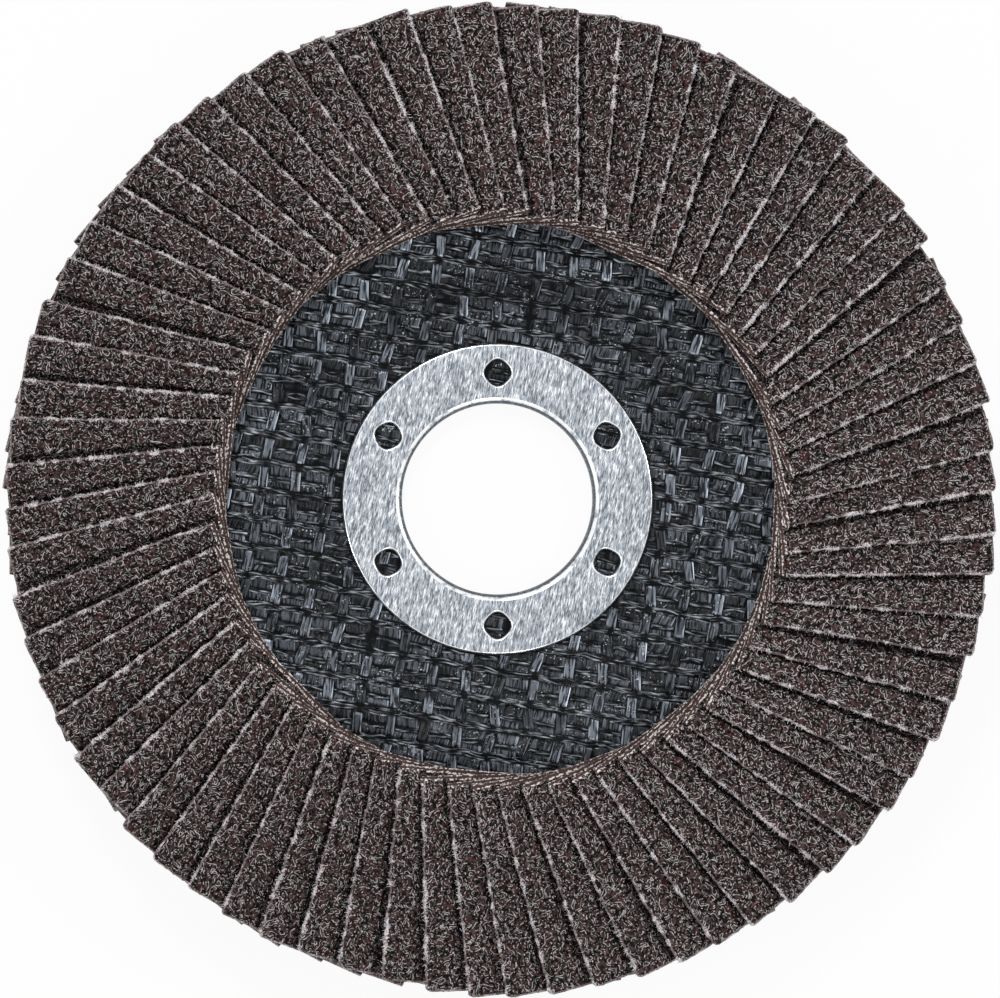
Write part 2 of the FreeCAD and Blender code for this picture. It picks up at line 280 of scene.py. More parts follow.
def resin_material(look):
    """Phenolic resin, moulded in a press over the glass cloth: black, faintly blue and glossy, with
    the cloth's floats just showing through, their filaments drawn coarser than real."""
    material, tree, shader = new_material("black phenolic resin")
    ripples = add(tree, "TexNoise", {"Vector": object_coords(tree), "Scale": 1 / 0.7, "Detail": 3,
                                     "Roughness": 0.6})
    turned = object_coords(tree, (1, 1, 1), math.radians(look.tape_lean))
    axes = add(tree, "SeparateXYZ", turned).node.outputs
    waves = []
    for axis, pitch in ((0, look.tape_pitch), (1, look.thread_pitch)):
        wave = add(tree, "Math", axes[axis], math.tau / pitch, operation="MULTIPLY")
        waves.append(add(tree, "Math", wave, operation="SINE"))
    basket = add(tree, "Math", *waves, operation="MULTIPLY")
    # Filaments run lengthwise where a tape floats and crosswise where a thread does
    filaments = []
    for scale in ((1, 0.12, 1), (0.12, 1, 1)):
        drawn = add(tree, "Mapping", {"Vector": turned, "Scale": scale})
        filaments.append(add(tree, "TexNoise", {"Vector": drawn, "Scale": 1 / look.filament,
                                                "Detail": 1, "Roughness": 0.6}))
    lengthwise, crosswise = filaments
    side = add(tree, "MapRange", basket, -0.05, 0.05, **SMOOTH)
    strands = add(tree, "Mix", {0: side, 6: crosswise, 7: lengthwise}, **COLOURS)
    strands = add(tree, "MapRange", strands, 0.42, 0.6, 0.04, 0.4, **SMOOTH)
    float_top = add(tree, "Math", basket, operation="ABSOLUTE")
    float_top = add(tree, "MapRange", float_top, 0.1, 0.7, **SMOOTH)
    shown = add(tree, "Math", strands, float_top, operation="MULTIPLY")
    deep = add(tree, "MapRange", ripples, 0.45, 0.75, **SMOOTH)
    colour = add(tree, "Mix", {0: deep, 6: look.resin, 7: look.pit}, **COLOURS)
    colour = add(tree, "Mix", {0: shown, 6: colour, 7: look.tape}, **COLOURS)
    normal = add(tree, "Bump", {"Height": float_top, "Distance": 0.12 * MM})
    normal = add(tree, "Bump", {"Height": ripples, "Distance": 0.15 * MM, "Normal": normal})
    give(tree, shader, {"Base Color": colour, "Normal": normal,
                        "Roughness": 0.38, "Specular IOR Level": 0.06})
    return material


def glass_material(look, name, deep, raised):
    """Glass roving wetted with black resin: filaments lie along each tape, drawn coarser than real
    so that they show, and the thin skin of resin over them is glossy, so the tapes glint."""
    material, tree, shader = new_material("resin-wetted " + name.replace("_", " "))
    place = add(tree, "Attribute", attribute_name="cloth", out="Vector")
    place = add(tree, "Mapping", {"Vector": place, "Scale": (1, 0.12, 0)})
    filaments = add(tree, "TexNoise", {"Vector": place, "Scale": 1 / look.filament, "Detail": 1,
                                       "Roughness": 0.6})
    strands = add(tree, "MapRange", filaments, 0.42, 0.57, 0.04, 1.1, **SMOOTH)
    # The level attribute brings each ribbon's tone together with painted highlights and painted shade
    level = add(tree, "Attribute", attribute_name="level", out="Fac")
    colour = add(tree, "Mix", {0: strands, 6: deep, 7: raised}, **COLOURS)
    colour = add(tree, "Mix", {0: 1.0, 6: colour, 7: level}, blend_type="MULTIPLY", **COLOURS)
    # Dust and painted glints: pale specks that lie in patches
    coords = object_coords(tree)
    patches = add(tree, "TexNoise", {"Vector": coords, "Scale": 1 / 2.5, "Detail": 2})
    patches = add(tree, "MapRange", patches, 0.46, 0.6, **SMOOTH)
    specks = add(tree, "TexNoise", {"Vector": coords, "Scale": 1 / 0.27, "Detail": 1})
    specks = add(tree, "MapRange", specks, 0.63, 0.70, **SMOOTH)
    dust_and_glint_specks = add(tree, "Math", patches, specks, operation="MULTIPLY")
    colour = add(tree, "Mix", {0: dust_and_glint_specks, 6: colour, 7: look.dust_and_glint}, **COLOURS)
    wet = add(tree, "TexNoise", {"Vector": coords, "Scale": 1 / 1.1, "Detail": 2, "Roughness": 0.6})
    rough = add(tree, "MapRange", wet, 0.35, 0.65, 0.2, 0.45, **SMOOTH)
    normal = add(tree, "Bump", {"Height": filaments, "Distance": 0.16 * MM})
    normal = add(tree, "Bump", {"Height": wet, "Distance": 0.15 * MM, "Normal": normal})
    give(tree, shader, {"Base Color": colour, "Roughness": rough, "Normal": normal,
                        "Specular IOR Level": 0.15})
    return material


def steel_material(look):
    """Zinc-plated sheet steel, brushed one way before it was pressed: bright, with streaks that are
    drawn coarser than real, so that they show."""
    material, tree, shader = new_material("brushed zinc-plated steel")
    streaky = object_coords(tree, (1, 0.17, 0.3), math.radians(look.brush_lean))
    streaks = add(tree, "TexNoise", {"Vector": streaky, "Scale": 1 / look.streak, "Detail": 2,
                                     "Roughness": 0.6})
    cloud = add(tree, "TexNoise", {"Vector": object_coords(tree, (1, 0.5, 1)), "Scale": 1 / 0.8,
                                   "Detail": 2})
    cloud = add(tree, "Math", cloud, 0.5, operation="SUBTRACT")
    cloud = add(tree, "Math", cloud, 0.2, operation="MULTIPLY")
    shade = add(tree, "Math", streaks, cloud, operation="ADD")
    plain = add(tree, "MapRange", shade, 0.37, 0.50, **SMOOTH)
    colour = add(tree, "Mix", {0: plain, 6: look.groove, 7: look.steel}, **COLOURS)
    bright = add(tree, "MapRange", shade, 0.54, 0.66, **SMOOTH)
    colour = add(tree, "Mix", {0: bright, 6: colour, 7: look.bright_streak_and_edge_highlight}, **COLOURS)
    rough = add(tree, "MapRange", streaks, 0.3, 0.7, 0.45, 0.3, **SMOOTH)
    normal = add(tree, "Bump", {"Height": streaks, "Distance": 0.02 * MM})
    give(tree, shader, {"Base Color": colour, "Roughness": rough, "Normal": normal, "Metallic": 1})
    return material


def drawn_shaded_material(look):
    """The same steel where the die drew it into the bore: dull, with faint upright scuffs, and darker
    as a painted shade.
    """
    material, tree, shader = new_material("drawn steel collar with painted shade")
    scuffs = add(tree, "TexNoise", {"Vector": object_coords(tree, (1, 1, 0.2)), "Scale": 1 / 0.5,
                                    "Detail": 2})
    scuffs = add(tree, "MapRange", scuffs, 0.4, 1.0, **SMOOTH)
    colour = add(tree, "Mix", {0: scuffs, 6: look.groove, 7: look.steel}, **COLOURS)
    give(tree, shader, {"Base Color": colour, "Roughness": 0.5, "Metallic": 1})
    return material


def edge_highlight_material(look):
    """The same steel where the die rolled its edges: burnished and without streaks, and lighter as a
    painted highlight.
    """
    material, tree, shader = new_material("die-burnished steel edge with painted highlight")
    shade = add(tree, "TexNoise", {"Vector": object_coords(tree), "Scale": 1 / 0.8, "Detail": 2})
    shade = add(tree, "MapRange", shade, 0.3, 0.5, **SMOOTH)
    colour = add(tree, "Mix", {0: shade, 6: look.steel, 7: look.bright_streak_and_edge_highlight}, **COLOURS)
    give(tree, shader, {"Base Color": colour, "Roughness": 0.22, "Metallic": 1})
    return material


def adhesive_material():
    """Filled epoxy, cured where it was squeezed out: brown, satin, lumpy."""
    material, tree, shader = new_material("cured filled epoxy")
    lumps = add(tree, "TexNoise", {"Vector": object_coords(tree), "Scale": 1 / 1.4, "Detail": 3,
                                   "Roughness": 0.6})
    colour = add(tree, "Mix", {0: lumps, 6: "#2A2019", 7: "#5C4A3A"}, **COLOURS)
    normal = add(tree, "Bump", {"Height": lumps, "Distance": 0.4 * MM})
    give(tree, shader, {"Base Color": colour, "Normal": normal, "Roughness": 0.45})
    return material


# How much of the floor's colour is plain white: the rest is lit, and takes the disc's shadow
FLOOR_WHITE = 0.93


def floor_material():
    """A white floor: the camera sees it nearly white, and it keeps the object's shadow."""
    material, tree, shader = new_material("white floor")
    give(tree, shader, {"Base Color": "#F4F4F4", "Roughness": 1, "Specular IOR Level": 0})
    share = add(tree, "Math", seen_directly(tree), FLOOR_WHITE, operation="MULTIPLY")
    white = add(tree, "Emission", {"Color": (1, 1, 1, 1), "Strength": 1.0})
    mix = add(tree, "MixShader", share, shader.outputs[0], white)
    tree.links.new(mix, tree.nodes["Material Output"].inputs["Surface"])
    return material


def as_mesh(bm, name):
    """The bmesh as a mesh."""
    mesh = bpy.data.meshes.new(name)
    bm.to_mesh(mesh)
    bm.free()
    return mesh


# Along this direction no two faces of the plate or the ring lie equally far
SKEW = Vector((12.9898, 78.233, 37.719))


def settle(bm):
    """Turn the faces outward and put them in an order that is the same in every run."""
    bmesh.ops.recalc_face_normals(bm, faces=bm.faces)
    bm.faces.sort(key=lambda face: face.calc_center_median().dot(SKEW))


def finish(bm, name, materials, nodes=(), sharp=None):
    """Turn a bmesh into a piece of the disc that rides on its body."""
    mesh = as_mesh(bm, name)
    mesh.shade_smooth()
    if sharp:
        mesh.set_sharp_from_angle(angle=math.radians(sharp))
    for material in materials:
        mesh.materials.append(material)
    piece = bpy.data.objects.new(name, mesh)
    bpy.context.scene.collection.objects.link(piece)
    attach(piece, "root")
    if nodes:
        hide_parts(*nodes)
    return piece


# The flaps: each is a closed strip, ROWS long, with LANES points round its section. Lane 0 is the
# hidden side's foot, lane 1 its top, then the strip that shows, then the cut wall down to the back.
ROWS = 128
STRIP = 25
WALL = 4
LANES = 2 + STRIP + 1 + WALL
# The slots of a flap's materials, in order
GRAIN, CUT, BACK, FIBRE = range(4)
PITCH = math.tau / (2 * len(PAIRS))
# In mm: how wide the strip is that shows, at the inner end and at the rim; how much looser than its
# cloth a flap is laid; the furthest one slides in or out; and how far apart the grain's patterns are
STRIP_WIDTHS = (3.3, 5.7)
LOOSE = 0.02
FARTHEST_SLIDE = 0.45
PATTERNS_APART = 40


class GrainSettings(bpy.types.PropertyGroup):
    """Sizes and colours of the abrasive cloth."""

    width: FloatProperty(name="Flap width", description="Cut width in mm", default=19)
    cloth_thickness: FloatProperty(
        name="Cloth thickness", description="Cloth and grain together in mm", default=0.9)
    inner: FloatProperty(
        name="Inner radius", description="From the axis to the flaps' inner ends in mm", default=31.9)
    foot: FloatProperty(
        name="Foot height", description="Lowest edge above the hub's back in mm", default=6.2)
    jitter: FloatProperty(
        name="Jitter", description="How unevenly the flaps are laid, in degrees", default=0.28)
    grit: FloatProperty(name="Grit", description="Grain size in mm, P40", default=0.42)
    relief: FloatProperty(name="Relief", description="Grain relief in mm", default=0.22)
    glint: FloatProperty(name="Glint", description="Half a crest's glint in mm", default=0.055)
    thread: FloatProperty(name="Thread", description="Thread spacing in mm", default=0.40)
    fibres: IntProperty(name="Fibres", description="Loose fibres on a flap", default=95)
    corner: FloatProperty(name="Corner", description="Worn corner radius in mm", default=0.5)
    # The pit colour is also the painted shade beside the glints
    pit: StringProperty(name="Pit colour", description="Between grains", default="#090505")
    body: StringProperty(name="Grain colour", description="Grain sides", default="#554442")
    # The crest colour is the glints' painted highlight
    crest: StringProperty(name="Crest colour", description="Grain tops", default="#C4BDBE")
    russet: StringProperty(name="Russet", description="Red-brown grains", default="#522B26")
    cloth: StringProperty(name="Cloth colour", description="Cut threads", default="#BDB0B2")
    stained: StringProperty(name="Stained", description="Inner ends", default="#F4EAE6")
    resin: StringProperty(name="Resin colour", description="Size coat", default="#4A3835")
    twill: StringProperty(name="Twill colour", description="Cloth back", default="#8A6E50")
    fibre: StringProperty(name="Fibre colour", description="Loose fibre", default="#EAE6E9")


def flap_template():
    """The closed strip laid flat: x counts rows along the flap and y counts lanes round it."""
    bm = bmesh.new()
    bmesh.ops.create_grid(bm, x_segments=ROWS, y_segments=LANES - 1, size=1)
    unit = Matrix.Diagonal((ROWS / 2, (LANES - 1) / 2, 1, 1)) @ Matrix.Translation((1, 1, 0))
    bmesh.ops.transform(bm, matrix=unit, verts=bm.verts)
    for face in bm.faces:
        face.material_index = CUT if face.calc_center_median().y > 2 + STRIP else GRAIN
    seam = [edge for edge in bm.edges if edge.is_boundary
            and (all(v.co.y < 0.5 for v in edge.verts)
                 or all(v.co.y > LANES - 1.5 for v in edge.verts))]
    for face in bmesh.ops.bridge_loops(bm, edges=seam)["faces"]:
        face.material_index = BACK
    ends = bmesh.ops.holes_fill(bm, edges=[edge for edge in bm.edges if edge.is_boundary], sides=0)
    for face in ends["faces"]:
        face.material_index = CUT
    return as_mesh(bm, "flap template")


def flap_lie(look, number, rng):
    """Where a flap lies: its turn round the disc, its tilt onto its neighbour and its height."""
    crowding = look.inner * math.sin(PITCH) - look.width / 2 * (1 - math.cos(PITCH))
    tilt = math.asin((look.cloth_thickness + LOOSE) / crowding)
    rise = look.width / 2 * math.sin(tilt) + look.cloth_thickness / 2 * math.cos(tilt)
    turn = math.pi / 2 + number * PITCH + math.radians(look.jitter) * rng.uniform(-1, 1)
    yaw = math.radians(rng.gauss(0, 0.35))
    slide = min(FARTHEST_SLIDE, max(-FARTHEST_SLIDE, rng.gauss(0, 0.2)))
    lie = Matrix.Rotation(turn, 4, "Z") @ Matrix.Translation((look.inner + slide, 0, look.foot + rise))
    return lie @ Matrix.Rotation(yaw, 4, "Z") @ Matrix.Rotation(-tilt, 4, "X"), tilt


def flap_length(look, tilt):
    """A flap's length, which brings its outer corners onto the disc's circle."""
    reach = look.width / 2 * math.cos(tilt) + look.cloth_thickness / 2 * math.sin(tilt)
    radius = max(abs(value) for corner in CAD_BOX for value in corner[:2]) / MM
    return math.sqrt(radius ** 2 - reach ** 2) - look.inner


def grain_level(look, x, y, number):
    """How high the grain stands, from 0 in a pit to 1 on a crest: winding ridges and lumps."""
    spot = Vector((x, y, number * 3.1)) / look.grit
    ridge = 1 - min(1, abs(noise.noise(spot * 0.68)) / 0.24)
    lump = 0.5 + 0.7 * noise.noise(spot * 1.3 + Vector((9, 4, 0)))
    return min(1, max(0, 0.62 * ridge + 0.38 * lump))


def tuft_level(x, number):
    """How frayed a cut edge is there, from 0 where resin holds it to 1 in a tuft."""
    patch = eased((wander(x / 1.4, number * 5.1, 9) + 0.14) / 0.38)
    bead = 0.5 + 0.8 * wander(x / 0.32, number * 4.3, 2)
    return min(1, max(0, 0.75 * patch + 0.5 * (bead - 0.45)))


def flap_mesh(template, look, number, rng):
    """One flap: grain stands on the strip that shows, and its cut edges wander and fray."""
    lie, tilt = flap_lie(look, number, rng)
    length = flap_length(look, tilt)
    half, thick = look.width / 2, look.cloth_thickness / 2
    sway = rng.uniform(-0.2, 0.2)
    corner = look.corner * rng.uniform(0.5, 1.5)
    wear = rng.uniform(0.5, 1.4)
    mesh = template.copy()
    grain, inset, fray, cloth = [], [], [], []
    for vert in mesh.vertices:
        row, lane = round(vert.co.x), round(vert.co.y)
        along = row / ROWS
        x = along * length
        strip = blend(*STRIP_WIDTHS, along)
        edge = -half + sway * along * along + 0.17 * wander(x / 1.6, number * 7.3, 0)
        edge += 0.12 * wander(x / 0.45, number * 7.3, 5)
        edge += corner - math.sqrt(corner ** 2 - max(0, x - length + corner) ** 2)
        tuft = tuft_level(x, number)
        level, torn = 0.5, 0
        if lane < 2:
            y, z = half, (-thick if lane == 0 else thick - look.relief)
        elif lane <= 2 + STRIP:
            share = (lane - 2) / STRIP
            y = blend(-half + strip, edge, share)
            level = grain_level(look, x, y, number)
            # At the inner end the grain has come off, and the cloth's threads show
            bare = eased((0.9 - x) / 0.5)
            z = thick - look.relief + look.relief * level * eased(share * 8) * (1 - bare)
            z += bare * 0.05 * math.sin(math.tau * x / look.thread)
            z -= 0.10 * eased(1 - (1 - share) * strip / 0.25)
            # Under the next flap's edge the grain is pressed down, and painted shade darkens it
            under = y + half - (look.inner + x) * PITCH + 0.55
            under += 0.2 * wander(x / 0.6, number, 3)
            z -= 0.3 * eased(under / 0.4)
            level *= 1 - 0.95 * eased(under / 0.4)
            torn = (0.22 + 0.55 * tuft * wear) * eased(1 - (1 - share) * strip / 0.45)
        else:
            share = (lane - 2 - STRIP) / WALL
            bulge = 0.8 + wander(x / 0.3, share * 2, number * 1.7)
            y = edge - (0.03 + 0.2 * tuft) * math.sin(math.pi * share) * bulge
            z = blend(thick - look.relief * 0.5, -thick + 0.05, share)
            torn = tuft
        if z > 0:
            z -= 0.30 * eased(1 - x / 0.9) + 0.2 * eased((x - length + 0.35) / 0.35)
        if row in (0, ROWS):
            x += 0.10 * wander(y / 0.4, number * 2.9, along * 3)
            torn = max(torn, tuft_level(y + PATTERNS_APART, number))
        vert.co = lie @ Vector((x, y, z)) * MM
        grain.append(level)
        inset.append(x)
        fray.append(torn)
        cloth += (x, y + PATTERNS_APART * number, z)
    mesh.attributes.new("cloth", "FLOAT_VECTOR", "POINT").data.foreach_set("vector", cloth)
    for name, values in (("grain", grain), ("inset", inset), ("fray", fray)):
        mesh.attributes.new(name, "FLOAT", "POINT").data.foreach_set("value", values)
    for face in mesh.polygons:
        if face.material_index == GRAIN:
            farthest = max(inset[v] for v in face.vertices)
            if farthest < 0.45 + 0.45 * grain[face.vertices[0]] or farthest > length - 0.02:
                face.material_index = CUT
    return mesh, lie, length


def of_kind(items, kind):
    """Those of the items that are of a kind."""
    return [item for item in items if isinstance(item, kind)]


def fibre_mesh():
    """One loose fibre, a unit long along X: a thin three-sided tube with a curl in it."""
    bm = bmesh.new()
    loop = bmesh.ops.create_circle(bm, cap_ends=True, segments=3, radius=1)["verts"]
    bmesh.ops.rotate(bm, verts=loop, matrix=Matrix.Rotation(math.pi / 2, 3, "Y"))
    bmesh.ops.scale(bm, vec=(1, 0.06, 0.06), verts=loop)
    tip = bm.faces[:]
    for step in range(2):
        grown = bmesh.ops.extrude_face_region(bm, geom=tip)["geom"]
        loop = of_kind(grown, bmesh.types.BMVert)
        tip = of_kind(grown, bmesh.types.BMFace)
        bmesh.ops.translate(bm, verts=loop, vec=(0.5, 0, 0.15 * step))
        middle = sum((v.co for v in loop), Vector()) / len(loop)
        bmesh.ops.scale(bm, vec=(0.75,) * 3, verts=loop, space=Matrix.Translation(-middle))
    bmesh.ops.recalc_face_normals(bm, faces=bm.faces)
    for face in bm.faces:
        face.material_index = FIBRE
    return as_mesh(bm, "fibre")


def stamp(bm, mesh, lie):
    """Add a mesh to the bmesh where it lies."""
    first = len(bm.verts)
    bm.from_mesh(mesh)
    bm.verts.ensure_lookup_table()
    bmesh.ops.transform(bm, matrix=lie, verts=bm.verts[first:])


def stand_fibres(bm, fibre, look, lie, length, number, rng):
    """Stand loose fibres along the flap's cut edge, in tufts."""
    scaled = Matrix.Scale(MM, 4) @ lie
    planted = 0
    while planted < look.fibres:
        x = rng.uniform(0.3, length - 0.3)
        if rng.random() > 0.15 + tuft_level(x, number):
            continue
        planted += 1
        z = rng.uniform(-0.35, 0.25)
        root = Matrix.Translation((x, -look.width / 2 + 0.03, z))
        aim = Matrix.Rotation(-math.pi / 2 + rng.gauss(0, 0.6), 4, "Z")
        lift = Matrix.Rotation(-rng.uniform(-0.2, 0.9), 4, "Y")
        size = rng.uniform(0.2, 0.5)
        girth = 0.8 / size
        spin = Matrix.Rotation(rng.uniform(0, math.tau), 4, "X")
        grow = Matrix.Diagonal((size, size * girth, size * girth, 1))
        stamp(bm, fibre, scaled @ root @ aim @ lift @ grow @ spin)


class FlapsOperator(bpy.types.Operator):
    """Lay the abrasive flaps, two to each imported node"""

    bl_idname = "flap_disc.flaps"
    bl_label = "Abrasive flaps"

    def execute(self, context):
        look = context.scene.flap_disc_grain
        materials = [make(look) for make in (abrasive_material, cut_cloth_material,
                                             cloth_back_material, fibre_material)]
        template, fibre = flap_template(), fibre_mesh()
        for index, node in enumerate(PAIRS):
            bm = bmesh.new()
            for number in (2 * index, 2 * index + 1):
                rng = random.Random(number)
                mesh, lie, length = flap_mesh(template, look, number, rng)
                bm.from_mesh(mesh)
                bpy.data.meshes.remove(mesh)
                stand_fibres(bm, fibre, look, lie, length, number, rng)
            finish(bm, node.replace("flap_pair", "abrasive_flaps"), materials, [node], 55)
        for mesh in (template, fibre):
            bpy.data.meshes.remove(mesh)
        return {"FINISHED"}


# The plate

class PlateSettings(bpy.types.PropertyGroup):
    """Sizes and colours of the woven backing plate."""

    thickness: FloatProperty(name="Thickness", description="Plate in mm", default=2.4)
    hub: FloatProperty(name="Hub radius", description="Flat hub in mm", default=21.6)
    crown: FloatProperty(name="Crown radius", description="Top of the slope in mm", default=28.6)
    depth: FloatProperty(name="Hub depth", description="Hub below the crown in mm", default=3)
    bend: FloatProperty(
        name="Bend", description="How far the bends reach past the slope in mm", default=1.0)
    hole: FloatProperty(name="Hole radius", description="Hole for the collar in mm", default=11.765)
    tape_pitch: FloatProperty(name="Tape pitch", description="Tape to tape in mm", default=3.9)
    thread_pitch: FloatProperty(name="Thread pitch", description="Band to band in mm", default=3.3)
    wide_tape: FloatProperty(name="Wide tape", description="Width in mm", default=2.4)
    narrow_tape: FloatProperty(name="Narrow tape", description="Width in mm", default=1.05)
    tape_lean: FloatProperty(name="Tape lean", description="In degrees", default=-10)
    thread_lean: FloatProperty(name="Thread lean", description="In degrees", default=-9)
    filament: FloatProperty(
        name="Filament", description="Width in mm, drawn coarser than real to show", default=0.26)
    resin: StringProperty(name="Resin colour", description="Moulded resin", default="#0B0C0E")
    pit: StringProperty(name="Pit colour", description="Deep resin", default="#060709")
    tape: StringProperty(name="Tape colour", description="Wetted glass", default="#53585F")
    thread: StringProperty(name="Thread colour", description="Wetted thread", default="#979CA2")
    # Pale specks: dust, and painted glints on the tapes
    dust_and_glint: StringProperty(name="Dust colour", description="Pale specks", default="#BCC4CC")


def dish(look, radius, shift=0.0):
    """How high the plate rises above the hub at a distance from the axis, in mm."""
    start, stop = look.hub - look.bend + shift, look.crown + look.bend + shift
    return look.depth * eased((radius - start) / (stop - start))


# The plate's rounded rim and its broken back edges, in mm, and the steps of its turn and its slope
RIM_ROUND = 0.5
BROKEN = 0.3
TURNS = 288
SLOPES = 16


def plate_body(look):
    """Turn the moulded plate's section about the axis: front, rim, back and hole."""
    bm = bmesh.new()
    rim = PLATE_HIGH.x / MM
    reach = look.crown - look.hub + 2 * look.bend
    slope = [look.hub - look.bend + step * reach / SLOPES for step in range(SLOPES + 1)]
    shift = look.thickness * math.tan(math.atan(look.depth / (look.crown - look.hub)) / 2)
    front = [look.hole, *slope, 40, rim - RIM_ROUND]
    section = [(radius, look.thickness + dish(look, radius)) for radius in front]
    top, foot = look.thickness + look.depth, look.depth
    for step in range(7):
        turn = math.pi / 2 * step / 6
        section.append((rim - RIM_ROUND + RIM_ROUND * math.sin(turn),
                        top - RIM_ROUND + RIM_ROUND * math.cos(turn)))
    section += [(rim, foot + BROKEN), (rim - BROKEN, foot)]
    back = [radius + shift for radius in reversed([*slope, 44])]
    section += [(radius, dish(look, radius, shift)) for radius in back]
    section += [(look.hole + BROKEN, 0), (look.hole, BROKEN)]
    corners = [bm.verts.new((radius * MM, 0, height * MM)) for radius, height in section]
    ring = [bm.edges.new(pair) for pair in zip(corners, corners[1:] + corners[:1])]
    bmesh.ops.spin(bm, geom=corners + ring, axis=(0, 0, 1), angle=math.tau, steps=TURNS, use_merge=True)
    bmesh.ops.remove_doubles(bm, verts=bm.verts, dist=1e-7)
    settle(bm)
    return bm


def hole_ways():
    """The ways from the axis to the six pierced holes, one of them to 12 o'clock."""
    return [Vector((math.sin(k * math.tau / 6), math.cos(k * math.tau / 6), 0)) for k in range(6)]


class Weave:
    """The glass cloth as a lattice: tapes run up the disc, and threads run across it."""

    def __init__(self, look):
        self.look = look
        turn = math.radians(90 + look.tape_lean)
        self.along = Vector((math.cos(turn), math.sin(turn), 0))
        turn = math.radians(look.thread_lean)
        self.across = Vector((math.cos(turn), math.sin(turn), 0))
        # It is laid from just past the ring to under the flaps' inner ends, and in the ring's holes
        self.inner, self.outer = RING_HIGH.x / MM + 0.05, look.crown + 4.2
        ring_look = bpy.context.scene.flap_disc_ring
        self.hole_reach = ring_look.pierced_width / 2 - 0.08
        self.holes = [way * ring_look.pierced_circle for way in hole_ways()]

    def shows(self, spot):
        """Whether the cloth can be seen there, past the ring or through one of its holes."""
        radius = spot.length
        if radius < self.inner:
            return any((spot - hole).length < self.hole_reach for hole in self.holes)
        return radius < self.outer

    def painted_light(self, spot):
        """How bright the cloth is painted there: painted light on the crown, most of all towards
        11 o'clock, and painted shade in the slope at 12 o'clock."""
        radius, toward = spot.length, math.atan2(spot.x, spot.y)
        # Painted light on the crown, and painted shade in the slope
        crown = eased((radius - self.look.crown + 1.5) / 2.5) * (0.6 + 0.5 * math.cos(toward + 0.5))
        slope_shade = eased(1 - abs(radius - 24.6) / 4) * max(0, math.cos(toward - 0.1)) ** 2
        return 1 + crown - 0.55 * slope_shade

    def runs(self, start, step, count):
        """The unbroken stretches of a line that show, as (first, last) step numbers."""
        found, first = [], None
        for number in range(count + 1):
            seen = number < count and self.shows(start + step * number)
            if seen and first is None:
                first = number
            if not seen and first is not None:
                if number - first > 3:
                    found.append((first, number - 1))
                first = None
        return found

    def ribbon(self, bm, start, run, width, pace, lanes, height, seed, wobble=0.0):
        """Lay one ribbon from start along run. height(travel, share) gives its top above the plate,
        how pale it is there, by its tone and by painted light and shade, and how far it is shifted
        sideways."""
        place = bm.verts.layers.float_vector.get("cloth")
        level = bm.verts.layers.float.get("level")
        side = UP.cross(run)
        side.normalize()
        count = int(2 * self.outer / pace)
        for first, last in self.runs(start, run * pace, count):
            rows = last - first
            grid = bmesh.ops.create_grid(bm, x_segments=rows, y_segments=lanes, size=1)["verts"]
            for vert in grid:
                travel = (first + (vert.co.x + 1) / 2 * rows) * pace
                share = vert.co.y
                sway = wobble * wander(travel / 2.2, seed * 3.7, 0)
                lift, pale, shift = height(travel, share)
                spot = start + run * travel + side * (share * width / 2 + sway + shift)
                rough = 0.03 * wander(travel / 0.8, share * 2, seed)
                z = self.look.thickness + dish(self.look, spot.length) + lift + rough
                vert.co = Vector((spot.x, spot.y, z)) * MM
                # Each ribbon has its own stretch of the filaments' noise, 5 mm further on
                vert[place] = (share * width / 2 + seed * 5, travel, share)
                # The level holds the ribbon's tone together with its painted light and shade
                vert[level] = pale * self.painted_light(spot)


# How far a tape or thread lies below the plate's face where it dips, and where a wide and a narrow
# tape float over the threads within one pitch, in mm
SUNK = -0.2
WIDE_FLOATS = ((0.42, 1.26), (1.76, 3.05))
NARROW_FLOATS = ((0.42, 2.90),)
# How far apart the rows of a tape and of a thread stand, and where in a pitch each thread lies, in mm:
# the first BAND of them close together, then the pair
TAPE_PACE, THREAD_PACE = 0.15, 0.26
THREAD_PLACES = (-0.30, -0.08, 0.14, 0.34, 1.38, 1.62)
BAND = 4


